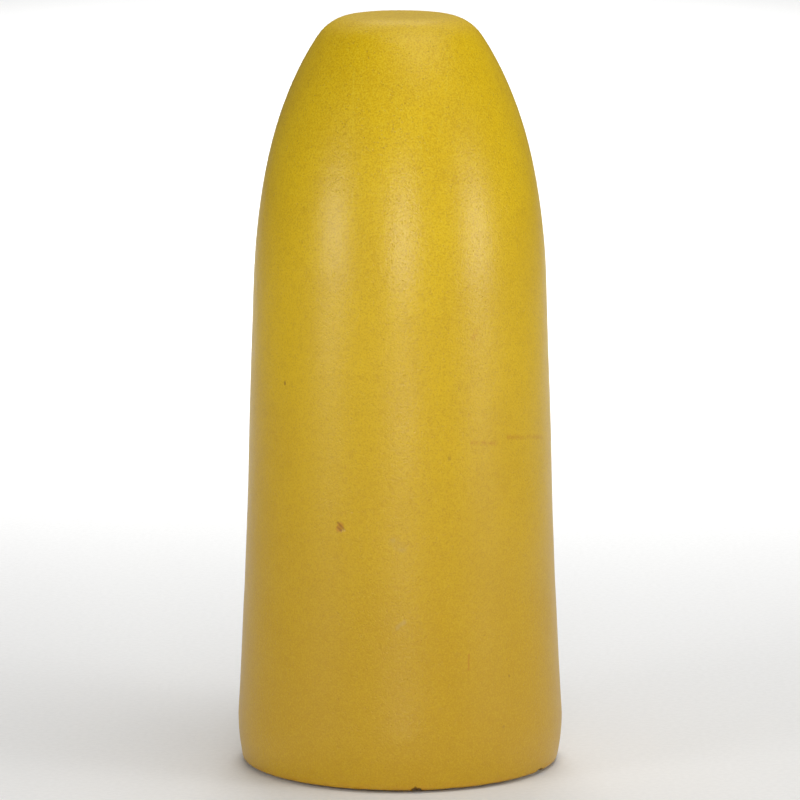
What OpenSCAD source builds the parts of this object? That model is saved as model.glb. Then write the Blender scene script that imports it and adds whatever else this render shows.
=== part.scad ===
// Socketed felling wedge, standing on its struck end.
// The origin is the centre of the struck face, and +Z runs up the axis to the nose.

/* [Overall] */
// Overall height, from the struck face to the flat tip of the nose
wedge_h = 200; // [170:5:240]
// How far the plug's struck face stands proud of the moulding's rim
plug_proud = 0.6; // [0.2:0.1:2]

/* [Moulding outline] */
// Diameter of the rim at the struck end
rim_d = 84; // [82:0.1:85]
// Rounding of the rim's outer edge
rim_round = 1.2; // [0.5:0.1:2]
// Largest diameter, at the top of the rolled-in foot
butt_d = 86.8; // [85.5:0.1:95]
// Height of the rolled-in foot above the rim
foot_h = 12; // [8:0.5:16]
// Diameter at the top of the flared skirt
skirt_d = 82.7; // [80.5:0.1:84.5]
// Height of the top of the flared skirt
skirt_h = 48.5; // [36:0.5:60]
// Diameter at the top of the slowly tapering shank
shank_d = 77.6; // [74:0.1:80]
// Height of the top of the shank, as a share of the overall height
shank_share = 0.65; // [0.6:0.01:0.7]
// Half-height of the nose's ellipse, as a multiple of the nose's own height
nose_reach = 1.21; // [1.12:0.01:1.4]
// Rounding between the nose's side and its flat tip
nose_round = 12.5; // [4:0.5:14]

/* [Socket and plug] */
// Diameter of the socket at its mouth
socket_d = 60; // [54:1:62]
// Diameter of the socket at its blind end
socket_end_d = 44; // [36:1:48]
// Height of the socket's blind end, as a share of the overall height
socket_share = 0.75; // [0.6:0.01:0.76]
// Chamfer round the plug's struck face
plug_chamfer = 1.5; // [0.5:0.1:2.5]
// Chamfer round the mouth of the counterbore
mouth_chamfer = 1; // [0.4:0.1:2]

/* [Steel parts] */
// Height of the steel ring round the plug's struck end
ring_h = 14; // [8:1:20]
// Wall of the steel ring
ring_wall = 3.5; // [2:0.1:4]
// How far the steel ring stands out past the socket's mouth
ring_step = 1; // [0.5:0.1:1.5]
// Gap left round and above the steel ring
ring_gap = 0.8; // [0.3:0.1:1.5]
// Outer diameter of the ring wedge driven into the plug's struck face
wedge_ring_d = 24; // [18:1:30]
// Depth that the ring wedge is driven to
wedge_ring_h = 18; // [12:1:24]
// Wall of the ring wedge at its driven face
wedge_ring_wall = 2.6; // [1.8:0.1:3.5]
// How far the ring wedge lies below the struck face
wedge_ring_sunk = 0.4; // [0.2:0.1:1]
// Thickness of the disc between the plug's end and the socket floor
disc_t = 3; // [2:0.5:5]
// Gap round the edge of the thrust disc
disc_gap = 0.4; // [0.2:0.1:1]

/* [Hidden] */

$fn = 96;

FOOT_STEPS = 8;
ROUND_STEPS = 6;
NOSE_STEPS = 28;
TIP_STEPS = 10;
BISECTIONS = 40;
CUT = 1;

rim_z = plug_proud;
foot_z = rim_z + foot_h;
shank_z = wedge_h * shank_share;

ring_r = socket_d / 2 + ring_step;
ring_seat_r = ring_r - ring_wall;
ring_top_z = rim_z + ring_h;
bore_r = ring_r + ring_gap;
bore_z = ring_top_z + ring_gap;
socket_end_z = wedge_h * socket_share;

wedge_edge_out_r = wedge_ring_d / 2 - wedge_ring_wall * 0.4;
wedge_edge_in_r = wedge_ring_d / 2 - wedge_ring_wall * 0.6;
wedge_end_z = wedge_ring_sunk + wedge_ring_h;

// The nose is part of an ellipse that carries on the shank's taper without a kink.
taper = (skirt_d - shank_d) / 2 / (shank_z - skirt_h);
nose_b = (wedge_h - shank_z) * nose_reach;
nose_start = atan(taper * nose_b / (shank_d / 2));
nose_a = shank_d / 2 / cos(nose_start);
nose_z = shank_z - nose_b * sin(nose_start);

function nose_point(t) = [nose_a * cos(t), nose_z + nose_b * sin(t)];

// Unit normal of the ellipse at parameter t.
function nose_normal(t) =
    let (n = [cos(t) / nose_a, sin(t) / nose_b])
    n / norm(n);

// Centre of a circle of the tip's rounding that touches the ellipse from inside at t.
function tip_centre(t) = nose_point(t) - nose_round * nose_normal(t);

// Parameter at which that circle also touches the plane of the flat tip.
function tip_start(low, high, n) =
    let (mid = (low + high) / 2)
    n == 0 ? mid
    : tip_centre(mid)[1] < wedge_h - nose_round ? tip_start(mid, high, n - 1)
    : tip_start(low, mid, n - 1);

tip_t = tip_start(nose_start, 90, BISECTIONS);
tip_c = tip_centre(tip_t);
tip_a = atan2(nose_normal(tip_t)[1], nose_normal(tip_t)[0]);

// Radius of the rolled-in foot at height h above the rim: a parabola, upright at its top.
function foot_r(h) = (butt_d - (butt_d - rim_d) * pow(1 - h / foot_h, 2)) / 2;

// Radius of the tapered seat shared by the socket and the plug.
function seat_r(z) =
    let (share = (z - bore_z) / (socket_end_z - bore_z))
    (socket_d + (socket_end_d - socket_d) * share) / 2;

rim_edge_r = foot_r(rim_round) - rim_round;

// Points of an arc about centre c, from angle a0 to a1, with its first point left out.
function arc(c, r, a0, a1, steps) =
    [for (i = [1:steps]) let (a = a0 + (a1 - a0) * i / steps) c + r * [cos(a), sin(a)]];

module body_outline() {
    polygon(concat(
        [[0, rim_z], [rim_edge_r, rim_z]],
        arc([rim_edge_r, rim_z + rim_round], rim_round, -90, 0, ROUND_STEPS),
        [for (i = [1:FOOT_STEPS])
            let (h = rim_round + (foot_h - rim_round) * i / FOOT_STEPS)
            [foot_r(h), rim_z + h]],
        [[skirt_d / 2, skirt_h]],
        [for (i = [0:NOSE_STEPS]) nose_point(nose_start + (tip_t - nose_start) * i / NOSE_STEPS)],
        arc(tip_c, nose_round, tip_a, 90, TIP_STEPS),
        [[0, wedge_h]]
    ));
}

// Counterbore for the ring, tapered seat for the plug and a straight pocket for the disc.
module socket_outline() {
    polygon([
        [0, rim_z - CUT],
        [bore_r + mouth_chamfer + CUT, rim_z - CUT],
        [bore_r, rim_z + mouth_chamfer],
        [bore_r, bore_z],
        [seat_r(bore_z), bore_z],
        [seat_r(socket_end_z), socket_end_z],
        [seat_r(socket_end_z), socket_end_z + disc_t],
        [0, socket_end_z + disc_t]
    ]);
}

// Section of the ring wedge: thick at its driven face and thin at its leading edge.
module ring_wedge_section() {
    polygon([
        [wedge_ring_d / 2 - wedge_ring_wall, wedge_ring_sunk],
        [wedge_ring_d / 2, wedge_ring_sunk],
        [wedge_edge_out_r, wedge_end_z],
        [wedge_edge_in_r, wedge_end_z]
    ]);
}

// Slot that the ring wedge has opened, carried on to the struck face.
module ring_wedge_slot() {
    ring_wedge_section();
    translate([wedge_ring_d / 2 - wedge_ring_wall, -CUT])
        square([wedge_ring_wall, wedge_ring_sunk + CUT]);
}

// Moulded body, hollow from the struck end.
module wedge_body() {
    color("#d9b238")
        rotate_extrude()
            difference() {
                body_outline();
                socket_outline();
            }
}

// Turned hardwood plug that takes the hammer's blows and spreads them along the taper.
module strike_plug() {
    color("#b98d5c")
        rotate_extrude()
            difference() {
                polygon([
                    [0, 0],
                    [ring_seat_r - plug_chamfer, 0],
                    [ring_seat_r, plug_chamfer],
                    [ring_seat_r, ring_top_z],
                    [seat_r(ring_top_z), ring_top_z],
                    [seat_r(socket_end_z), socket_end_z],
                    [0, socket_end_z]
                ]);
                ring_wedge_slot();
            }
}

// Steel ring that keeps the plug's struck end from splitting.
module plug_ring() {
    color("#8c8f92")
        rotate_extrude()
            translate([ring_seat_r, rim_z])
                square([ring_wall, ring_h]);
}

// Hollow steel wedge that spreads the plug's struck end against its ring.
module ring_wedge() {
    color("#75787b")
        rotate_extrude()
            ring_wedge_section();
}

// Steel disc that carries the plug's end grain on the plastic socket floor.
module thrust_disc() {
    color("#9b9ea1")
        translate([0, 0, socket_end_z])
            cylinder(r = seat_r(socket_end_z) - disc_gap, h = disc_t);
}

wedge_body();
strike_plug();
plug_ring();
ring_wedge();
thrust_disc();
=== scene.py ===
"""Looks of the socketed felling wedge: moulded body, wooden plug, steel ring, ring wedge and thrust disc."""

import math

import bpy
import numpy as np
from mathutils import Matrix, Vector, noise


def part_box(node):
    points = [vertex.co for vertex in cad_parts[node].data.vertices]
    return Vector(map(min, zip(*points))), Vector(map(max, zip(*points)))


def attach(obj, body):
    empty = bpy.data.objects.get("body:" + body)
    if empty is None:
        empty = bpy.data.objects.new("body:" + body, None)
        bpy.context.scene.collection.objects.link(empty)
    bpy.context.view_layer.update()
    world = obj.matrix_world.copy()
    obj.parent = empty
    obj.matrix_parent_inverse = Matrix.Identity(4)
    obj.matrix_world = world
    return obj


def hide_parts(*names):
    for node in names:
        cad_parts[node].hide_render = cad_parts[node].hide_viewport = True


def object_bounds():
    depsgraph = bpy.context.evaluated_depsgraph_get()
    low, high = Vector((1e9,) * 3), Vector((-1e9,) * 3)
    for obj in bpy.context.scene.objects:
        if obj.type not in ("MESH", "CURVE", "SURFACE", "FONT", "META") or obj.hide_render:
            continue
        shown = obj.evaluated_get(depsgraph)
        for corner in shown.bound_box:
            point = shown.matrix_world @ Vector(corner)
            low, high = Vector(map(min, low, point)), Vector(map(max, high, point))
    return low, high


MM = 0.001
FRONT = -90.0  # bearing about +Z of the side that faces the camera, in degrees
MM_PER_DEGREE = 0.72  # about the length of one degree of bearing on the moulding's surface
SAME_CORNER = 0.05 * MM  # corners of a section that are closer than this are one corner

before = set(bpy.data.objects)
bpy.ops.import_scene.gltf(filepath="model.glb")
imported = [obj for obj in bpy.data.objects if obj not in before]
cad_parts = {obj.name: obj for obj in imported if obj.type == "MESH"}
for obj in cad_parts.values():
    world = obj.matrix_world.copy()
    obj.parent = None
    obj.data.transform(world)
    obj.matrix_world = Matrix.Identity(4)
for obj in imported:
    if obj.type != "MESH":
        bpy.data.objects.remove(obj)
CAD_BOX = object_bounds()
TOP = CAD_BOX[1].z


# ------------------------------------------------------------ sections read from the frame

def section(node):
    """The (radius, height) corners of a turned CAD node, each once, from the lowest up."""
    corners = []
    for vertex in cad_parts[node].data.vertices:
        corner = (math.hypot(vertex.co.x, vertex.co.y), vertex.co.z)
        if all(math.dist(corner, other) > SAME_CORNER for other in corners):
            corners.append(corner)
    return sorted(corners, key=lambda corner: corner[1])


BODY = section("wedge_body")
RING = section("plug_ring")
WEDGE = section("ring_wedge")
RING_IN, RING_OUT = min(r for r, z in RING), max(r for r, z in RING)
RING_LOW, RING_HIGH = RING[0][1], RING[-1][1]
WEDGE_LOW, WEDGE_HIGH = WEDGE[0][1], WEDGE[-1][1]
# The ring wedge's radii: at its thick struck end, and at its thin edge.
WEDGE_IN, WEDGE_OUT = min(r for r, z in WEDGE[:2]), max(r for r, z in WEDGE[:2])
EDGE_IN, EDGE_OUT = min(r for r, z in WEDGE[-2:]), max(r for r, z in WEDGE[-2:])
PLUG_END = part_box("strike_plug")[1].z
SOCKET_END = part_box("thrust_disc")[1].z
RIM = BODY[0][1]
SOCKET_REACH = RING_OUT + 3 * MM  # every corner of the socket lies inside this radius
SOCKET = [(r, z) for r, z in BODY if r < SOCKET_REACH and z < SOCKET_END + MM]
SHELL = [corner for corner in BODY if corner not in SOCKET]


def steps_along(points, spacing):
    """The broken line through points, cut into steps no longer than spacing."""
    line = [points[0]]
    for (r0, z0), (r1, z1) in zip(points, points[1:]):
        count = max(1, math.ceil(math.hypot(r1 - r0, z1 - z0) / spacing))
        for k in range(1, count + 1):
            line.append((r0 + (r1 - r0) * k / count, z0 + (z1 - z0) * k / count))
    return line


def smooth_line(points, spacing):
    """A centripetal Catmull-Rom curve through points, in steps of about spacing(height)."""
    pts = [Vector(point) for point in points]
    pts = [2 * pts[0] - pts[1]] + pts + [2 * pts[-1] - pts[-2]]
    line = [tuple(pts[1])]
    for p0, p1, p2, p3 in zip(pts, pts[1:], pts[2:], pts[3:]):
        t1 = math.sqrt((p1 - p0).length)
        t2 = t1 + math.sqrt((p2 - p1).length)
        t3 = t2 + math.sqrt((p3 - p2).length)
        count = max(1, math.ceil((p2 - p1).length / spacing((p1.y + p2.y) / 2)))
        for k in range(1, count + 1):
            t = t1 + (t2 - t1) * k / count
            a1 = p0.lerp(p1, t / t1)
            a2 = p1.lerp(p2, (t - t1) / (t2 - t1))
            a3 = p2.lerp(p3, (t - t2) / (t3 - t2))
            b1 = a1.lerp(a2, t / t2)
            b2 = a2.lerp(a3, (t - t1) / (t3 - t1))
            line.append(tuple(b1.lerp(b2, (t - t1) / (t2 - t1))))
    return line


# ------------------------------------------------------------ turned meshes

def put(name, data):
    """A new object in the scene that shows a mesh, a light or a camera."""
    thing = bpy.data.objects.new(name, data)
    bpy.context.scene.collection.objects.link(thing)
    return thing


def bearings(coarse, fine=None, marks=()):
    """Bearings round the axis in degrees: coarse steps, and fine ones where (bearing, reach) marks lie."""
    angles = [0.0]
    while angles[-1] < 360:
        near = any(abs((angles[-1] - at + 180) % 360 - 180) < reach for at, reach in marks)
        angles.append(angles[-1] + (fine if near else coarse))
    return np.array(angles[:-1]) * 360 / angles[-1]


def turned(name, line, angles, shape=None):
    """A closed mesh that a line of (radius, height) points sweeps round the axis.

    The line runs from axis to axis, or round and back to its start. shape(points) moves the points,
    an array of x, y, z rows, and returns named values to keep on them.
    """
    on_axis = line[0][0] == 0
    rows = np.array(line[1:-1] if on_axis else line)
    turn = np.radians(angles)
    count = len(angles)
    x = rows[:, :1] * np.cos(turn)
    y = rows[:, :1] * np.sin(turn)
    z = np.repeat(rows[:, 1:], count, axis=1)
    points = np.stack([x, y, z], axis=-1).reshape(-1, 3)
    if on_axis:
        poles = np.array([[0, 0, line[0][1]], [0, 0, line[-1][1]]])
        points = np.vstack([points, poles])
    kept = shape(points) if shape else {}

    def at(row, column):
        return (row % len(rows)) * count + column % count

    last = len(rows) - 1 if on_axis else len(rows)
    faces = [
        (at(i, j), at(i + 1, j), at(i + 1, j + 1), at(i, j + 1))
        for i in range(last) for j in range(count)
    ]
    if on_axis:
        first_pole, last_pole = len(points) - 2, len(points) - 1
        faces += [(first_pole, at(0, j), at(0, j + 1)) for j in range(count)]
        faces += [(last_pole, at(last, j + 1), at(last, j)) for j in range(count)]
    mesh = bpy.data.meshes.new(name)
    mesh.from_pydata(points.tolist(), [], faces)
    for key, values in kept.items():
        mesh.attributes.new(key, "FLOAT", "POINT").data.foreach_set("value", values)
    mesh.shade_smooth()
    return put(name, mesh)


# ------------------------------------------------------------ tools that wear a surface

FRACTAL = (0.8, 2.1, 3)  # fall-off, step in scale and number of octaves of the wear's noise


def axis_distance(points):
    """Every point's distance from the axis."""
    return np.hypot(points[:, 0], points[:, 1])


def on_body(bearing, height, out=0.0):
    """The point on the body's outside at a bearing and height, moved out by a distance."""
    heights = [z for r, z in SHELL]
    radius = float(np.interp(height, heights, [r for r, z in SHELL])) + out
    turn = math.radians(bearing)
    return np.array([radius * math.cos(turn), radius * math.sin(turn), height])


def waves(points, reach, seed):
    """Gentle unevenness: a few slow waves round the axis and along it, sized by reach."""
    rng = np.random.default_rng(seed)
    turn = np.arctan2(points[:, 1], points[:, 0])
    total = np.zeros(len(points))
    for k in range(2, 9):
        round_phase, along_phase = rng.uniform(0, 2 * math.pi, 2)
        cycles = rng.uniform(1, 5)
        along = np.sin(2 * math.pi * cycles * points[:, 2] / TOP + along_phase)
        total += np.sin(k * turn + round_phase) * along / k
    return total * reach


def roughness_at(points, chosen, pitch, seed):
    """Fractal noise between about -1 and 1 at the chosen points, and 0 elsewhere."""
    values = np.zeros(len(points))
    shift = Vector((seed * 3.7, seed * 1.3, seed * 2.9))  # each seed reads another part of the noise
    for i in np.flatnonzero(chosen):
        values[i] = noise.fractal(Vector(points[i]) / pitch + shift, *FRACTAL)
    return values


def press(points, start, end, radius, rough, pitch, seed):
    """Presses a rough-sided rod with round ends into the surface, and returns how deep each point went."""
    axis = end - start
    share = np.clip((points - start) @ axis / max(axis @ axis, 1e-12), 0, 1)
    away = points - (start + share[:, None] * axis)
    distance = np.linalg.norm(away, axis=1)
    near = distance < radius * (1 + rough)
    reach = radius * (1 + rough * roughness_at(points, near, pitch, seed))
    hit = near & (distance < reach)
    depth = np.where(hit, reach - distance, 0.0)
    points += away * (depth / np.maximum(distance, 1e-9))[:, None]
    return depth


# ------------------------------------------------------------ moulded body: where it is worn

# Chips out of the rim's outer edge: bearing from the front in degrees, half-width and height in mm.
RIM_CHIPS = [
    (-15.6, 0.45, 0.6), (5.9, 0.6, 1.05), (62, 1.6, 0.9), (97, 0.8, 0.7), (141, 2.2, 1.3),
    (168, 0.9, 0.8), (-148, 1.3, 1.0), (-112, 1.0, 0.7), (-71, 0.8, 0.8),
]
# The two short cuts of the nick, low on the left of the front, and the two parts of the scratch on its right.
# Each goes from one (bearing from the front in degrees, height in mm) to another.
NICK_CUTS = [((-23.7, 71.2), (-21.0, 69.5)), ((-23.5, 70.0), (-22.2, 69.1))]
NICK_BEARING, NICK_HEIGHT = -22.4, 70.4
SCRATCHES = [((28.0, 91.8), (39.3, 91.1)), ((45.0, 92.2), (69.3, 89.8))]
# Bruises on the back and sides, from logs and other wedges: bearing from the front, height, length in mm.
BRUISES = [
    (101, 58, 4.0), (152, 118, 3.0), (-128, 84, 5.0), (-164, 32, 2.5), (176, 168, 3.0), (-97, 146, 2.0),
]

# Where the body's mesh is fine: a bearing, and how many degrees to either side.
BODY_MARKS = [(FRONT + at, 4.0) for at, wide, high in RIM_CHIPS]
BODY_MARKS += [(FRONT + NICK_BEARING, 3.5)]
BODY_MARKS += [(FRONT + at, 5.0) for at, height, length in BRUISES]

SWELL = 0.16 * MM  # slow unevenness of the whole outside
WORN_HEIGHT = 2.6 * MM  # how far up from the rim the outside is worn
RIM_WEAR = 0.14 * MM  # how far the wear moves that part in and out
FACE_WEAR = 0.16 * MM  # how far the wear hollows the rim's face
FULL_CUT = 0.5 * MM  # a cut this deep counts as 1 in the kept value
CHIP_SINK = 0.45  # how far under the rim a chip's rod lies, as a share of the chip's height
ROD_END = 0.6  # how much the rod's round end adds to a chip's half-width, as a share of its height
NICK_ROD = 0.4 * MM  # radius of the rods that press the nick
NICK_OUT = 0.22 * MM  # how far out of the surface the middle of such a rod lies
BRUISE_ROD = 2.0 * MM  # the same for the bruises
BRUISE_OUT = 1.7 * MM


def body_spacing(height):
    """Step along the body's outline: short at the rim and at the nick, longer elsewhere."""
    if height < RIM + 3 * MM:
        return 0.28 * MM
    if abs(height - NICK_HEIGHT * MM) < 2.6 * MM:
        return 0.25 * MM
    return 1.6 * MM


def body_line():
    """Down the outside from the tip, across the rim and up the socket."""
    shell = smooth_line(SHELL, body_spacing)[::-1]
    tip = steps_along([(0, TOP), shell[0]], 2 * MM)[:-1]
    mouth = [corner for corner in SOCKET if corner[0] > RING_OUT + 0.5 * MM]
    mouth.sort(key=lambda corner: (corner[1], -corner[0]))
    taper = sorted((corner for corner in SOCKET if corner not in mouth), key=lambda corner: corner[1])
    rim = steps_along([shell[-1], mouth[0]], 0.7 * MM)[1:]
    return tip + shell + rim + mouth[1:] + taper + [(0, SOCKET_END)]


def wear_rim(points, radius, outside):
    """Wears the foot of the outside and the rim's face. Returns how near the rim the points are, 0 to 1."""
    near_rim = outside & (points[:, 2] < RIM + WORN_HEIGHT)
    nearness = np.clip((RIM + WORN_HEIGHT - points[:, 2]) / WORN_HEIGHT, 0, 1)
    worn = roughness_at(points, near_rim, pitch=2.6 * MM, seed=5) * nearness
    points[:, :2] *= (1 - RIM_WEAR * worn / np.maximum(radius, MM))[:, None]
    rim_face = near_rim & (points[:, 2] < RIM + 0.3 * MM)
    hollows = np.abs(roughness_at(points, rim_face, pitch=4 * MM, seed=9))
    points[:, 2] += np.where(rim_face, FACE_WEAR * hollows, 0)
    return nearness


def press_chip(points, at, wide, high, seed):
    """Breaks a chip out of the rim's outer edge, with a rod that lies along the edge and under it."""
    middle = on_body(FRONT + at, RIM + MM)
    middle[2] = RIM - CHIP_SINK * high * MM
    along = np.array([-middle[1], middle[0], 0]) / np.hypot(middle[0], middle[1])
    half = max(wide - high * ROD_END, 0.1) * MM * along
    rod = (1 + CHIP_SINK) * high * MM
    return press(points, middle - half, middle + half, rod, rough=0.35, pitch=0.9 * MM, seed=seed)


def press_nick(points, ends, seed):
    """Presses one cut of the nick."""
    start, end = (on_body(FRONT + at, height * MM, NICK_OUT) for at, height in ends)
    return press(points, start, end, NICK_ROD, rough=0.3, pitch=0.8 * MM, seed=seed)


def press_bruise(points, at, height, length, seed):
    """Presses a shallow slanting bruise."""
    start = on_body(FRONT + at, height * MM, BRUISE_OUT)
    end = on_body(FRONT + at + length * 0.9, (height - length * 0.35) * MM, BRUISE_OUT)
    return press(points, start, end, BRUISE_ROD, rough=0.08, pitch=1.5 * MM, seed=seed)


def wear_body(points):
    """Soft unevenness, a worn rim, chips, the nick and the bruises."""
    radius = axis_distance(points)
    outside = (radius > SOCKET_REACH) | (points[:, 2] > SOCKET_END + MM)
    swell = waves(points, SWELL, seed=11) * outside
    swell = np.minimum(swell, CAD_BOX[1].x - radius)  # never past the CAD's widest radius
    points[:, :2] *= (1 + swell / np.maximum(radius, MM))[:, None]
    nearness = wear_rim(points, radius, outside)
    cut = np.zeros(len(points))
    for k, chip in enumerate(RIM_CHIPS):
        cut += press_chip(points, *chip, 20 + k)
    for k, ends in enumerate(NICK_CUTS):
        cut += press_nick(points, ends, 40 + k)
    for k, bruise in enumerate(BRUISES):
        cut += press_bruise(points, *bruise, 60 + k)
    return {"cut": np.clip(cut / FULL_CUT, 0, 1), "worn": nearness * outside}


# ------------------------------------------------------------ plug and steel: where they are worn

# Drying cracks in the plug's struck face: bearing in degrees, and inner and outer radius in mm.
CRACKS = [(24, 13, 25), (143, 12.5, 21), (262, 15, 26.5), (318, 0, 8)]
CRACK_HALF_WIDTH = 0.34 * MM
CRACK_DEPTH = 1.6 * MM
# Hammer bruises on the struck face: bearing in degrees, radius in mm, depth in mm.
BLOWS = [(80, 14, 0.35), (200, 17, 0.5), (300, 8, 0.3), (350, 20, 0.4), (120, 21, 0.45), (235, 5, 0.3)]
HAMMER_CROWN = 26 * MM  # radius of the rounded hammer face that made them
FULL_BRUISE = 0.4 * MM  # a bruise this deep counts as 1 in the kept value
STRUCK_WEAR = 0.16 * MM  # how far blows roughen the plug's face and the ring's struck edge
LIP = 2 * MM  # width of the struck face's outer edge, which the blows spread
LIP_SPREAD = 0.012  # how far it spreads at most, as a share of its radius
STRUCK_HEIGHT = 1.2 * MM  # how far up the ring the blows reach
BURR = 0.1 * MM  # how far they spread the ring's edge


def plug_line():
    """From the middle of the struck face, round the ring wedge's slot, and up the taper."""
    core = steps_along([(0, 0), (WEDGE_IN, 0)], 0.8 * MM)
    slot = [(WEDGE_IN, WEDGE_LOW), (EDGE_IN, WEDGE_HIGH), (EDGE_OUT, WEDGE_HIGH), (WEDGE_OUT, WEDGE_LOW)]
    plug = section("strike_plug")
    face_radius = max(r for r, z in plug if z < 0.1 * MM)
    face = steps_along([(WEDGE_OUT, 0), (face_radius, 0)], 0.7 * MM)
    chamfer = steps_along([(face_radius, 0), (RING_IN, RING_IN - face_radius)], 0.5 * MM)[1:]
    shoulder = max(r for r, z in plug if abs(z - RING_HIGH) < 0.1 * MM)
    end = max(r for r, z in plug if z > PLUG_END - 0.1 * MM)
    side = steps_along([(RING_IN, RING_HIGH), (shoulder, RING_HIGH), (end, PLUG_END)], 6 * MM)
    return core + slot + face + chamfer + side + [(0, PLUG_END)]


def crack_share(points, radius, face):
    """How deep in a drying crack each point lies, from 0 to 1."""
    bearing = np.degrees(np.arctan2(points[:, 1], points[:, 0]))
    crack = np.zeros(len(points))
    for k, (at, start, stop) in enumerate(CRACKS):
        # The crack strays from its bearing by a few degrees on its way out, and its ends taper.
        wander = 1.6 * np.sin(radius / MM * 0.55 + k) + 0.8 * np.sin(radius / MM * 1.4 + 2 * k)
        aside = np.abs((bearing - at - wander + 180) % 360 - 180)
        across = np.radians(aside) * radius
        ends = np.clip((radius / MM - start) / 2, 0, 1) * np.clip((stop - radius / MM) / 3, 0, 1)
        crack = np.maximum(crack, np.clip(1 - across / CRACK_HALF_WIDTH, 0, 1) * ends * face)
    return crack


def wear_plug(points):
    """Hammer bruises, drying cracks and a spread edge on the struck face."""
    radius = axis_distance(points)
    face = points[:, 2] < RING_LOW
    bruised = roughness_at(points, face, pitch=3.2 * MM, seed=3)
    inner = face & (radius < RING_IN - 0.6 * MM)
    points[:, 2] += np.where(inner, STRUCK_WEAR * np.abs(bruised), 0)
    lip = face & (radius > RING_IN - LIP)
    points[:, :2] *= np.where(lip, 1 + LIP_SPREAD * np.clip(bruised + 0.35, 0, 1), 1)[:, None]
    cut = np.zeros(len(points))
    for k, (at, out, deep) in enumerate(BLOWS):
        turn = math.radians(at)
        middle = np.array([out * MM * math.cos(turn), out * MM * math.sin(turn), deep * MM - HAMMER_CROWN])
        dent = press(points, middle, middle, HAMMER_CROWN, rough=0.002, pitch=4 * MM, seed=80 + k)
        cut += dent * face
    crack = crack_share(points, radius, face)
    points[:, 2] += CRACK_DEPTH * crack
    return {"cut": np.clip(cut / FULL_BRUISE, 0, 1), "crack": crack}


def ring_line():
    """Round the ring's section, its corners broken."""
    chamfer = 0.5 * MM
    corners = [
        (RING_IN + chamfer, RING_LOW), (RING_OUT - chamfer, RING_LOW),
        (RING_OUT, RING_LOW + chamfer), (RING_OUT, RING_HIGH - chamfer),
        (RING_OUT - chamfer, RING_HIGH), (RING_IN + chamfer, RING_HIGH),
        (RING_IN, RING_HIGH - chamfer), (RING_IN, RING_LOW + chamfer),
    ]
    return steps_along(corners + corners[:1], 0.9 * MM)[:-1]


def wear_ring(points):
    """Burrs and dents along the ring's struck edge."""
    radius = axis_distance(points)
    struck = points[:, 2] < RING_LOW + STRUCK_HEIGHT
    dents = roughness_at(points, struck, pitch=3.5 * MM, seed=17)
    points[:, 2] += np.where(struck, STRUCK_WEAR * np.abs(dents), 0)
    spread = 1 + BURR * np.clip(dents, 0, 1) / radius
    points[:, :2] *= np.where(struck, spread, 1)[:, None]
    return {}


def ring_wedge_line():
    """Round the ring wedge's section, from its broken struck corners to its thin edge."""
    nip = 0.2 * MM
    corners = [
        (WEDGE_IN + nip, WEDGE_LOW), (WEDGE_OUT - nip, WEDGE_LOW), (WEDGE_OUT, WEDGE_LOW + nip),
        (EDGE_OUT, WEDGE_HIGH), (EDGE_IN, WEDGE_HIGH), (WEDGE_IN, WEDGE_LOW + nip),
    ]
    return steps_along(corners + corners[:1], 1.5 * MM)[:-1]


# ------------------------------------------------------------ node building

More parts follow.
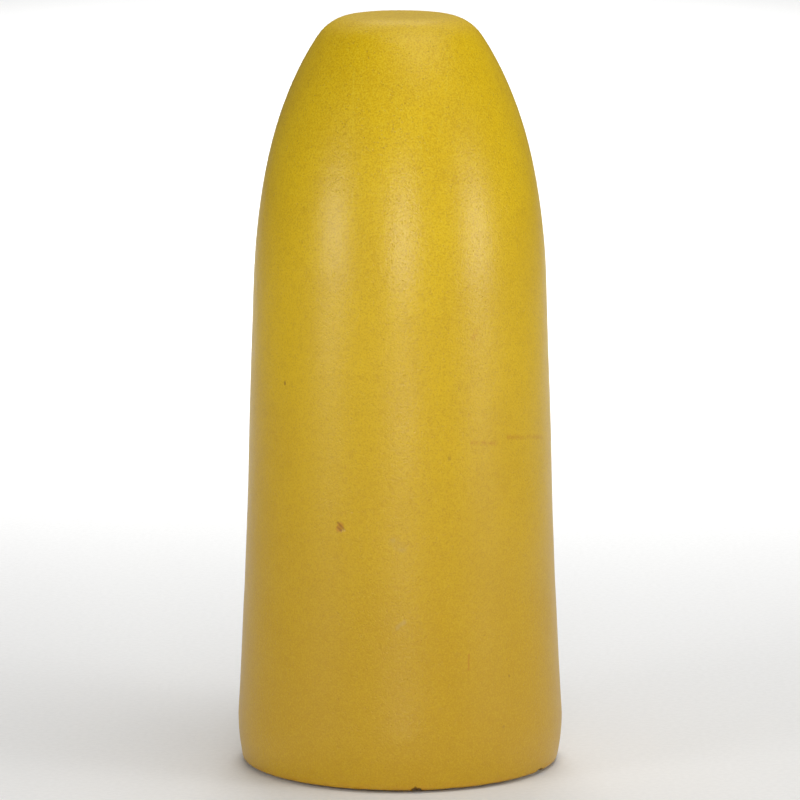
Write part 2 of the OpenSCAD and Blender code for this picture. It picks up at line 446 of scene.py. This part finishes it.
class Finish:
    """A material's nodes, with short calls for what the finishes share."""

    def __init__(self, name):
        self.material = bpy.data.materials.new(name)
        self.material.use_nodes = True
        self.tree = self.material.node_tree
        self.surface = self.tree.nodes["Principled BSDF"]
        self.place = self.add("ShaderNodeTexCoord").outputs["Object"]

    def add(self, kind, **settings):
        node = self.tree.nodes.new(kind)
        for key, value in settings.items():
            setattr(node, key, value)
        return node

    def feed(self, socket, value):
        """Links a node's output to the socket, or sets a plain value on it."""
        if isinstance(value, bpy.types.NodeSocket):
            self.tree.links.new(value, socket)
        else:
            socket.default_value = value

    def math(self, operation, *values):
        node = self.add("ShaderNodeMath", operation=operation)
        for socket, value in zip(node.inputs, values):
            self.feed(socket, value)
        return node.outputs[0]

    def vector(self, operation, *values):
        node = self.add("ShaderNodeVectorMath", operation=operation)
        for socket, value in zip(node.inputs, values):
            self.feed(socket, value)
        return node.outputs["Value" if operation in ("LENGTH", "DOT_PRODUCT") else "Vector"]

    def fade(self, value, start, end, low=0.0, high=1.0):
        """Eases from low to high as value goes from start to end."""
        node = self.add("ShaderNodeMapRange", interpolation_type="SMOOTHSTEP")
        sockets = ("Value", "From Min", "From Max", "To Min", "To Max")
        for key, part in zip(sockets, (value, start, end, low, high)):
            self.feed(node.inputs[key], part)
        return node.outputs["Result"]

    def most(self, values):
        """The highest of the values."""
        highest = values[0]
        for value in values[1:]:
            highest = self.math("MAXIMUM", highest, value)
        return highest

    def noise(self, pitch, detail, rough=0.5, where=None):
        """Noise about 0.5, its features about a pitch across, in the units of where."""
        node = self.add("ShaderNodeTexNoise")
        self.feed(node.inputs["Vector"], where or self.place)
        self.feed(node.inputs["Scale"], 1 / pitch)
        self.feed(node.inputs["Detail"], detail)
        self.feed(node.inputs["Roughness"], rough)
        return node.outputs[0]

    def cells(self, pitch, where=None, **settings):
        """Distance from the middles of cells about a pitch across, as a share of the pitch."""
        node = self.add("ShaderNodeTexVoronoi", **settings)
        self.feed(node.inputs["Vector"], where or self.place)
        self.feed(node.inputs["Scale"], 1 / pitch)
        return node.outputs["Distance"]

    def drawn_out(self, z):
        """The object's coordinates with z scaled, for grain drawn out along the axis."""
        node = self.add("ShaderNodeMapping")
        self.feed(node.inputs["Vector"], self.place)
        node.inputs["Scale"].default_value = (1, 1, z)
        return node.outputs[0]

    def parts(self):
        """x, y and z of the object's coordinates."""
        node = self.add("ShaderNodeSeparateXYZ")
        self.feed(node.inputs[0], self.place)
        return node.outputs

    def bearing(self):
        """Bearing from the front, in degrees."""
        x, y = self.parts()[:2]
        return self.math("DEGREES", self.math("ARCTAN2", x, self.math("MULTIPLY", y, -1.0)))

    def distance(self, x, y):
        """Length of the flat vector (x, y)."""
        square = self.math("ADD", self.math("MULTIPLY", x, x), self.math("MULTIPLY", y, y))
        return self.math("SQRT", square)

    def radius(self):
        """Distance from the axis, in millimetres."""
        x, y = self.parts()[:2]
        return self.math("MULTIPLY", self.distance(x, y), 1 / MM)

    def height(self):
        """Height above the floor, in millimetres."""
        return self.math("MULTIPLY", self.parts()[2], 1 / MM)

    def value(self, name):
        """A value kept on the mesh's points."""
        return self.add("ShaderNodeAttribute", attribute_name=name).outputs["Fac"]

    def surface_map(self, wander):
        """The moulding's surface unrolled: millimetres round from the front, and height.

        Noise shifts the places by up to half of wander, in millimetres, so that edges waver.
        """
        flat = self.add("ShaderNodeCombineXYZ")
        self.feed(flat.inputs[0], self.math("MULTIPLY", self.bearing(), MM_PER_DEGREE))
        self.feed(flat.inputs[1], self.height())
        jitter = self.noise(1.1 * MM, 2.0).node.outputs["Color"]
        spread = self.vector("MULTIPLY_ADD", jitter, (wander,) * 3, flat.outputs[0])
        return self.vector("SUBTRACT", spread, (wander / 2,) * 3)

    def stroke(self, sheet, start, end, wide, soft):
        """1 along a line between two (bearing, height) places on the sheet, easing to 0 beside it."""
        start = Vector((start[0] * MM_PER_DEGREE, start[1], 0))
        along = Vector((end[0] * MM_PER_DEGREE, end[1], 0)) - start
        away = self.vector("SUBTRACT", sheet, start)
        if along.length > 0:
            share = self.vector("DOT_PRODUCT", away, along / along.length_squared)
            share = self.math("MINIMUM", self.math("MAXIMUM", share, 0.0), 1.0)
            away = self.vector("SUBTRACT", away, self.vector("MULTIPLY", share, along))
        return self.fade(self.vector("LENGTH", away), wide / 2 * (1 + soft), wide / 2 * (1 - soft))

    def mix(self, share, first, second):
        """Goes from the first colour to the second as share goes from 0 to 1."""
        node = self.add("ShaderNodeMix", data_type="RGBA")
        self.feed(node.inputs["Factor"], share)
        ends = [socket for socket in node.inputs if socket.type == "RGBA"]
        for socket, colour in zip(ends, (first, second)):
            self.feed(socket, colour if isinstance(colour, bpy.types.NodeSocket) else (*colour, 1.0))
        return next(socket for socket in node.outputs if socket.type == "RGBA")

    def bump(self, height, depth, under=None):
        """Raises the surface by height times depth, on top of the relief under it."""
        node = self.add("ShaderNodeBump")
        self.feed(node.inputs["Height"], height)
        node.inputs["Distance"].default_value = depth
        if under is not None:
            self.feed(node.inputs["Normal"], under)
        return node.outputs[0]

    def finish(self, sockets):
        """Feeds the shader's sockets by name, and returns the material."""
        for name, value in sockets.items():
            self.feed(self.surface.inputs[name], value)
        return self.material


# ------------------------------------------------------------ moulded body: material

YELLOW = (0.735, 0.484, 0.001)
# Painted shade: the darker, more orange yellow of the body's lower part.
YELLOW_SHADED_LOW = (0.54, 0.316, 0.001)
AMBER = (0.47, 0.252, 0.001)
PALE = (0.76, 0.58, 0.030)
BROWN = (0.22, 0.080, 0.006)
ORANGE = (0.50, 0.200, 0.004)
TAN = (0.50, 0.33, 0.08)
RUST_TONE = (0.48, 0.19, 0.002)
# Near-black painted shade for the chips at the rim and the rim's foot.
RIM_SHADE_DARK = (0.070, 0.030, 0.008)

# Marks on the front of the moulding: colour, strength, width in mm, softness, and the two ends as
# (bearing from the front in degrees, height in mm).
MARKS = [
    (BROWN, 0.62, 0.8, 0.6, (-49.3, 105.8), (-49.3, 106.2)),
    (BROWN, 0.40, 0.9, 0.6, (18.6, 88.2), (18.6, 88.8)),
    (BROWN, 0.50, 0.7, 0.6, (42.4, 29.1), (42.4, 29.1)),
    (BROWN, 0.55, 0.8, 0.6, (38.8, 16.0), (38.8, 16.0)),
    (ORANGE, 0.60, 0.5, 0.6, (25.4, 36.2), (25.1, 32.2)),
    (TAN, 0.45, 2.2, 0.7, (-2.4, 66.5), (0.6, 65.2)),
    (TAN, 0.50, 1.1, 0.7, (-1.2, 44.0), (1.6, 45.6)),
    (ORANGE, 0.35, 1.4, 0.7, (28.9, 119.2), (30.6, 120.8)),
    (PALE, 0.30, 0.8, 0.9, (-27.1, 187.1), (-21.3, 170.5)),
    (PALE, 0.24, 0.6, 0.9, (-2.1, 185.2), (-1.9, 178.2)),
    (PALE, 0.26, 0.7, 0.9, (33.2, 195.0), (17.6, 170.5)),
    (PALE, 0.22, 0.6, 0.9, (10.5, 176.5), (9.0, 166.0)),
]
THIN_MARK = 0.5  # marks no wider than this, in mm, aren't broken up by the mottling


def moulding_ground(f, height, slow, mottle, grain):
    """The moulding's colour: mottling and dark grain, painted shade that makes it darker and more orange
    towards the butt, and pale flecks that grow towards the nose into a painted sheen.
    """
    # Painted shade: the yellow darkens and turns more orange towards the butt.
    colour = f.mix(f.fade(height, 10, 165), YELLOW_SHADED_LOW, YELLOW)
    colour = f.mix(f.fade(slow, 0.38, 0.66, 0, 0.16), colour, AMBER)
    colour = f.mix(f.fade(mottle, 0.30, 0.50, 0.16, 0), colour, AMBER)
    colour = f.mix(f.fade(grain, 0.34, 0.52, 0.45, 0), colour, AMBER)
    # Pale flecks in the grain, which grow stronger towards the nose, where they paint a pale sheen.
    pale_flecks_and_sheen = f.math("MULTIPLY", f.fade(grain, 0.51, 0.64), f.fade(height, 110, 185, 0.14, 0.46))
    return f.mix(pale_flecks_and_sheen, colour, PALE)


def front_marks(f, colour, mottle):
    """Lays the specks, smudges, scuffs, the scratch and the nick on the colour."""
    sheet = f.surface_map(0.5)
    for tone, strength, wide, soft, start, end in MARKS:
        mark = f.math("MULTIPLY", f.stroke(sheet, start, end, wide, soft), strength)
        if wide > THIN_MARK:
            mark = f.math("MULTIPLY", mark, f.fade(mottle, 0.38, 0.58, 0.25, 1.0))
        colour = f.mix(mark, colour, tone)

    gaps = f.fade(f.noise(1.3 * MM, 3.0), 0.36, 0.62, 0.2, 1.0)
    scratch = f.math("MULTIPLY", f.most([f.stroke(sheet, *ends, 1.0, 0.95) for ends in SCRATCHES]), gaps)
    scratch_strength = f.fade(f.bearing(), 38, 48, 0.56, 0.46)
    colour = f.mix(f.math("MULTIPLY", scratch, scratch_strength), colour, RUST_TONE)

    middle = [((a[0] + b[0]) / 2, (a[1] + b[1]) / 2) for a, b in NICK_CUTS]
    colour = f.mix(f.math("MULTIPLY", f.stroke(sheet, *middle, 1.8, 0.5), 0.7), colour, ORANGE)
    nick = f.most([f.stroke(sheet, *ends, 0.45, 0.8) for ends in NICK_CUTS])
    return f.mix(f.math("MULTIPLY", nick, 0.30), colour, BROWN)


def rim_wear_and_shade(f, colour, height, cut):
    """Lays the wear on the colour: orange wear on the worn foot and brown dirt in the cuts, with painted
    shade in the chips at the rim and along the rim's edge.
    """
    rim = RIM / MM
    patches = f.fade(f.noise(2.6 * MM, 5.0, 0.68), 0.30, 0.76)
    colour = f.mix(f.math("MULTIPLY", f.fade(f.value("worn"), 0.1, 1.0, 0, 0.6), patches), colour, ORANGE)
    # Painted shade: the chips at the rim, next to the floor, go near black.
    low = f.fade(height, rim + 2.5, rim - 0.4)
    chips = f.math("MULTIPLY", low, f.fade(cut, 0.05, 0.5))
    colour = f.mix(f.math("MULTIPLY", chips, 0.85), colour, RIM_SHADE_DARK)
    elsewhere = f.math("SUBTRACT", 1.0, low)
    colour = f.mix(f.math("MULTIPLY", f.fade(cut, 0.05, 0.6, 0, 0.34), elsewhere), colour, BROWN)
    # Painted shade: dark patches along the rim's foot, where it meets the floor.
    edge = f.math("MULTIPLY", f.fade(height, rim + 0.6, rim - 0.1), f.fade(patches, 0, 1, 0.1, 0.8))
    return f.mix(f.math("MULTIPLY", edge, 0.5), colour, RIM_SHADE_DARK)


def moulding_finish():
    """Yellow moulded plastic: fine grain, slow mottling, pores on the nose, a few marks and dirty cuts, with
    painted shade low on the body, in the rim's chips and along its foot, and a painted sheen on the nose.
    """
    f = Finish("yellow_moulding")
    height = f.height()
    cut = f.value("cut")
    slow = f.noise(24 * MM, 3.0)
    mottle = f.noise(2.4 * MM, 2.0)
    grain = f.noise(0.44 * MM, 2.0, 0.6)
    pebble = f.cells(0.8 * MM, feature="SMOOTH_F1")
    pore = f.fade(f.cells(0.95 * MM), 0.12, 0.27, 1, 0)
    pore = f.math("MULTIPLY", pore, f.fade(f.noise(3 * MM, 2.0), 0.36, 0.60))

    colour = moulding_ground(f, height, slow, mottle, grain)
    colour = f.mix(f.math("MULTIPLY", pore, f.fade(height, 138, 180, 0.06, 0.3)), colour, BROWN)
    colour = front_marks(f, colour, mottle)
    colour = rim_wear_and_shade(f, colour, height, cut)

    roughness = f.fade(slow, 0.3, 0.7, 0.43, 0.46)
    roughness = f.math("ADD", roughness, f.fade(height, 195, 199, 0, 0.22))
    roughness = f.math("ADD", roughness, f.math("MULTIPLY", cut, 0.2))
    normal = f.bump(f.noise(3.5 * MM, 2.0), 0.04 * MM)
    normal = f.bump(pebble, 0.03 * MM, normal)
    normal = f.bump(grain, 0.055 * MM, normal)
    normal = f.bump(pore, -0.05 * MM, normal)
    return f.finish({
        "Base Color": colour,
        "Roughness": roughness,
        "Normal": normal,
        "Specular IOR Level": 0.28,
        "Coat Weight": f.fade(height, 180, 197, 0.20, 0.05),
        "Coat Roughness": 0.25,
        "Coat IOR": 1.85,
        "Coat Normal": normal,
    })


# ------------------------------------------------------------ plug, steel and floor: materials

EARLY_WOOD = (0.46, 0.27, 0.12)
LATE_WOOD = (0.30, 0.155, 0.06)
WOOD_FIBRE = (0.56, 0.36, 0.18)
WOOD_PORE = (0.09, 0.045, 0.02)
WOOD_DIRT = (0.10, 0.075, 0.055)
WOOD_BRUISE = (0.15, 0.10, 0.065)
# Near-black painted shade inside the drying cracks.
CRACK_SHADE = (0.02, 0.012, 0.008)
PITH = (48 * MM, -30 * MM)  # x and y of the tree's middle, off to one side of the plug
YEAR_PITCH = 2.3 * MM  # width of one year's growth
RUST_DARK = (0.16, 0.055, 0.02)
RUST_LIGHT = (0.30, 0.12, 0.04)
RING_BRIGHT, RING_DULL = (0.42, 0.41, 0.40), (0.26, 0.25, 0.24)
WEDGE_BRIGHT, WEDGE_DULL = (0.34, 0.33, 0.32), (0.20, 0.19, 0.185)
DISC_BRIGHT, DISC_DULL = (0.52, 0.52, 0.52), (0.38, 0.38, 0.38)
BOARD_LOW, BOARD_HIGH = (0.80, 0.80, 0.795), (0.83, 0.83, 0.825)


def wood_finish():
    """Hardwood: growth rings about a pith off to one side, open pores, fibres, a dirty struck face, and
    painted shade in its drying cracks.
    """
    f = Finish("plug_hardwood")
    x, y = f.parts()[:2]
    reach = f.distance(f.math("SUBTRACT", x, PITH[0]), f.math("SUBTRACT", y, PITH[1]))
    wobble = f.math("MULTIPLY", f.noise(18 * MM, 2.0, where=f.drawn_out(0.2)), 5 * MM)
    rings = f.math("FRACT", f.math("MULTIPLY", f.math("ADD", reach, wobble), 1 / YEAR_PITCH))
    early = f.fade(rings, 0.0, 0.3, 1, 0)
    pores = f.cells(0.5 * MM, where=f.drawn_out(0.04))
    pore = f.math("MULTIPLY", f.fade(pores, 0.12, 0.3, 1, 0), early)
    fibres = f.noise(0.5 * MM, 3.0, where=f.drawn_out(0.03))

    colour = f.mix(f.fade(rings, 0.45, 0.95), EARLY_WOOD, LATE_WOOD)
    colour = f.mix(f.fade(fibres, 0.35, 0.7, 0, 0.35), colour, WOOD_FIBRE)
    colour = f.mix(f.math("MULTIPLY", pore, 0.7), colour, WOOD_PORE)
    dirt = f.fade(f.noise(7 * MM, 6.0, 0.68), 0.26, 0.80)
    dirt = f.math("MULTIPLY", dirt, f.fade(f.height(), 1.6, 0.3))
    colour = f.mix(f.math("MULTIPLY", dirt, 0.75), colour, WOOD_DIRT)
    colour = f.mix(f.fade(f.value("cut"), 0.0, 1.0, 0, 0.4), colour, WOOD_BRUISE)
    # Painted shade: the drying cracks go near black inside.
    colour = f.mix(f.fade(f.value("crack"), 0.05, 0.5), colour, CRACK_SHADE)
    normal = f.bump(fibres, 0.08 * MM)
    normal = f.bump(pore, -0.12 * MM, normal)
    return f.finish({"Base Color": colour, "Roughness": f.fade(dirt, 0, 1, 0.62, 0.8), "Normal": normal})


def steel_finish(name, bright, dull, rust_from):
    """Turned steel: fine marks round the axis, dull patches, and rust where the noise passes rust_from."""
    f = Finish(name)
    turned_marks = f.add("ShaderNodeCombineXYZ")
    f.feed(turned_marks.inputs[0], f.radius())
    f.feed(turned_marks.inputs[1], f.height())
    f.feed(turned_marks.inputs[2], f.math("MULTIPLY", f.bearing(), 0.01))
    lines = f.noise(0.22, 3.0, 0.6, where=turned_marks.outputs[0])  # in millimetres, like the marks
    patches = f.noise(5 * MM, 4.0, 0.6)
    rust = f.fade(f.noise(3.4 * MM, 5.0, 0.65), rust_from, rust_from + 0.12)
    rust_tone = f.mix(f.noise(0.7 * MM, 3.0), RUST_DARK, RUST_LIGHT)
    colour = f.mix(f.fade(patches, 0.3, 0.7), bright, dull)
    colour = f.mix(f.fade(lines, 0.35, 0.65, 0, 0.3), colour, dull)
    colour = f.mix(rust, colour, rust_tone)
    roughness = f.math("ADD", f.fade(lines, 0.3, 0.7, 0.30, 0.46), f.math("MULTIPLY", rust, 0.4))
    metallic = f.math("SUBTRACT", 1.0, f.math("MULTIPLY", rust, 0.9))
    normal = f.bump(lines, 0.02 * MM)
    normal = f.bump(rust, 0.06 * MM, normal)
    return f.finish({"Base Color": colour, "Metallic": metallic, "Roughness": roughness, "Normal": normal})


def floor_finish():
    """Plain pale studio board with a barely visible tooth."""
    f = Finish("studio_board")
    tooth = f.noise(1.5 * MM, 2.0)
    colour = f.mix(f.fade(tooth, 0.3, 0.7), BOARD_LOW, BOARD_HIGH)
    roughness = f.fade(tooth, 0.3, 0.7, 0.80, 0.86)
    return f.finish({"Base Color": colour, "Roughness": roughness, "Normal": f.bump(tooth, 0.02 * MM)})


# ------------------------------------------------------------ pieces

def place(piece, node, slot, material):
    """Rides the piece on the body in the CAD node's stead, with the material. The slot is not used."""
    piece.data.materials.append(material)
    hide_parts(node)
    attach(piece, "root")


def build_pieces():
    """The four pieces, three of them worn, and the thrust disc, which stays the CAD node and only gets its
    steel.
    """
    body = turned("moulded_body", body_line(), bearings(1.8, fine=0.45, marks=BODY_MARKS), wear_body)
    place(body, "wedge_body", "moulding", moulding_finish())

    crack_marks = [(at, 5.0) for at, start, stop in CRACKS]
    plug = turned("hardwood_plug", plug_line(), bearings(2.0, fine=0.5, marks=crack_marks), wear_plug)
    place(plug, "strike_plug", "plug_wood", wood_finish())

    ring = turned("steel_ring", ring_line(), bearings(1.5), wear_ring)
    ring_steel = steel_finish("ring_steel", RING_BRIGHT, RING_DULL, 0.56)
    place(ring, "plug_ring", "ring_steel", ring_steel)

    wedge = turned("steel_ring_wedge", ring_wedge_line(), bearings(3))
    wedge_steel = steel_finish("wedge_steel", WEDGE_BRIGHT, WEDGE_DULL, 0.52)
    place(wedge, "ring_wedge", "wedge_steel", wedge_steel)

    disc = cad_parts["thrust_disc"]
    disc.data.materials.clear()
    disc.data.materials.append(steel_finish("disc_steel", DISC_BRIGHT, DISC_DULL, 0.66))


# ------------------------------------------------------------ studio, in metres, watts and degrees

FLOOR_HALF = 60.0  # half the side of the floor
# Softboxes: name, bearing from the front, distance from the axis and height of the place, width and height
# of the box, and power.
SOFTBOXES = [
    ("left_softbox", -52, 0.5, 0.19, 0.16, 0.17, 0.635),
    ("right_softbox", 62, 0.5, 0.18, 0.16, 0.17, 0.655),
    ("front_softbox", 2, 0.8, 0.22, 0.20, 0.21, 1.20),
    ("fill_softbox", 2, 1.1, 0.27, 0.20, 0.30, 0.79),
    ("overhead_softbox", 50, 0.25, 0.90, 0.60, 0.60, 3.3),
    ("back_softbox", 180, 1.1, 1.25, 0.60, 0.60, 5.2),
]
LIT_PLACE = (0, 0, 0.12)  # where the softboxes face
SKY_STRENGTH = 0.11
CAMERA_PLACE = (0, -1.5, 0.345)
CAMERA_AIM = (0, 0, 0.0973)
LENS, SENSOR = 257.4, 36  # millimetres


def aim_at(thing, place):
    """Turns a light or a camera towards a place."""
    aim = Vector(place) - thing.location
    thing.rotation_euler = aim.to_track_quat("-Z", "Y").to_euler()


def studio_floor():
    mesh = bpy.data.meshes.new("studio_floor")
    ends = (-FLOOR_HALF, FLOOR_HALF)
    mesh.from_pydata([(x, y, 0) for x in ends for y in ends], [], [(0, 2, 3, 1)])
    mesh.materials.append(floor_finish())
    floor = put("studio_floor", mesh)


def area_light(name, location, wide, high, power):
    """A soft rectangular light that the camera doesn't see. It faces down until it is turned."""
    lamp = bpy.data.lights.new(name, "AREA")
    lamp.shape = "RECTANGLE"
    lamp.size, lamp.size_y = wide, high
    lamp.energy = power
    light = put(name, lamp)
    light.location = location
    light.visible_camera = False
    return light


def studio_light():
    for name, bearing, distance, height, wide, high, power in SOFTBOXES:
        turn = math.radians(FRONT + bearing)
        location = (distance * math.cos(turn), distance * math.sin(turn), height)
        aim_at(area_light(name, location, wide, high, power), LIT_PLACE)
    floor_light = area_light("floor_softbox", (0, 1.4, 0.8), 0.8, 2.0, 10)
    floor_light.data.spread = math.radians(100)  # a bare panel spreads its light over 180

    world = bpy.data.worlds.new("studio")
    world.use_nodes = True
    sky = world.node_tree.nodes["Background"]
    sky.inputs["Color"].default_value = (1, 1, 1, 1)
    sky.inputs["Strength"].default_value = SKY_STRENGTH
    bpy.context.scene.world = world
    bpy.context.scene.view_settings.view_transform = "Standard"


def studio_camera():
    """A long lens 1.5 m in front of the object, looking a little down on it."""
    camera = bpy.data.cameras.new("camera")
    camera.sensor_width = SENSOR
    camera.lens = LENS
    eye = put("camera", camera)
    eye.location = CAMERA_PLACE
    aim_at(eye, CAMERA_AIM)
    bpy.context.scene.camera = eye


build_pieces()
studio_floor()
studio_light()
studio_camera()
